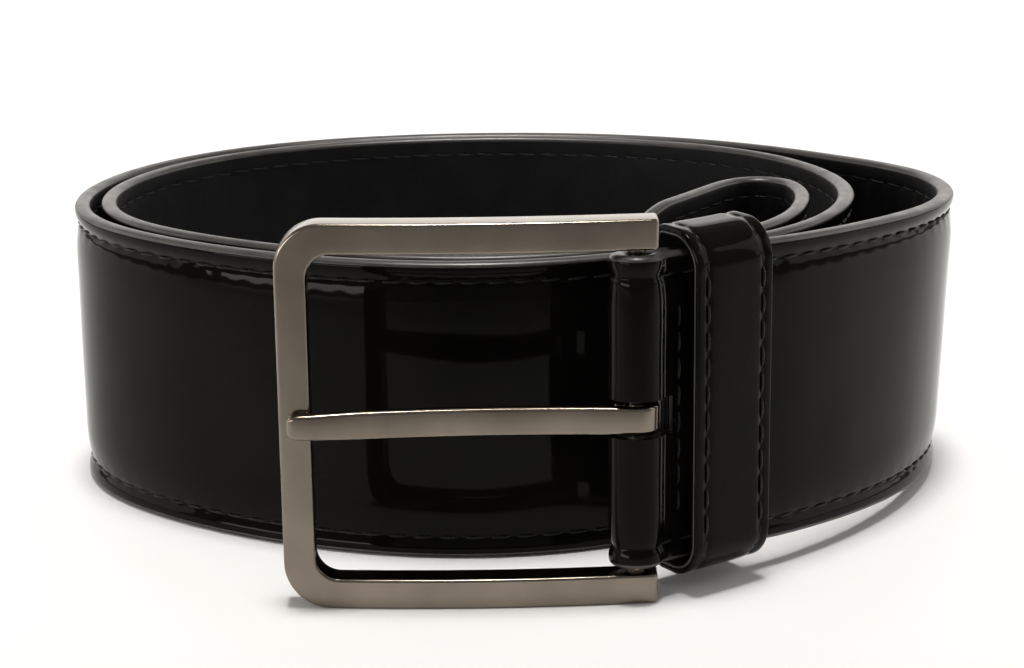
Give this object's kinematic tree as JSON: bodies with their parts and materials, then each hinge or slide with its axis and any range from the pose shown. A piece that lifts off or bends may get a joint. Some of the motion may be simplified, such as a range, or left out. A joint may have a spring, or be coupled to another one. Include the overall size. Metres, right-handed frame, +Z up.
{
  "type": "leather belt",
  "caption": "Wide black patent leather belt, coiled and standing on its edge, with a prong buckle, a fold-over strap end and a sliding keeper loop.",
  "frame": {"origin": "middle of the coiled belt's footprint, level with the surface that the coil and the buckle's frame stand on", "axes": "+Z up along the strap's width, the buckle faces -Y, +X towards the keeper"},
  "size_m": [0.1709, 0.1482, 0.0676],
  "materials": {
    "patent_leather": "patent gloss, near black",
    "core_board": "matte fibre board",
    "lining_leather": "soft matte black",
    "thread": "waxed black thread",
    "gunmetal": "polished warm gunmetal plating"
  },
  "bodies": {
    "strap": {"strap_face": "patent_leather", "strap_core": "core_board", "strap_lining": "lining_leather", "face_seam_lower": "thread", "face_seam_upper": "thread", "lining_seam_lower": "thread", "lining_seam_upper": "thread", "fold_stitch_outer": "thread", "fold_stitch_inner": "thread"},
    "buckle": {"buckle_frame": "gunmetal", "buckle_bar": "gunmetal"},
    "prong": {"prong": "gunmetal"},
    "keeper": {"keeper_band": "patent_leather", "keeper_lining": "lining_leather", "keeper_seam_near": "thread", "keeper_seam_far": "thread"}
  },
  "joints": [
    {"name": "buckle_pivot", "type": "hinge", "parent": "strap", "child": "buckle", "pos_m": [0.02116, -0.06864, 0.0338], "axis": [0, 0, 1], "range_deg": [0, 85]},
    {"name": "prong_pivot", "type": "hinge", "parent": "buckle", "child": "prong", "pos_m": [0.02116, -0.06864, 0.033], "axis": [0, 0, 1], "range_deg": [0, 50]},
    {"name": "keeper_slide", "type": "slide", "parent": "strap", "child": "keeper", "axis": [0.809, 0.5878, 0], "range_m": [0, 0.006]}
  ]
}
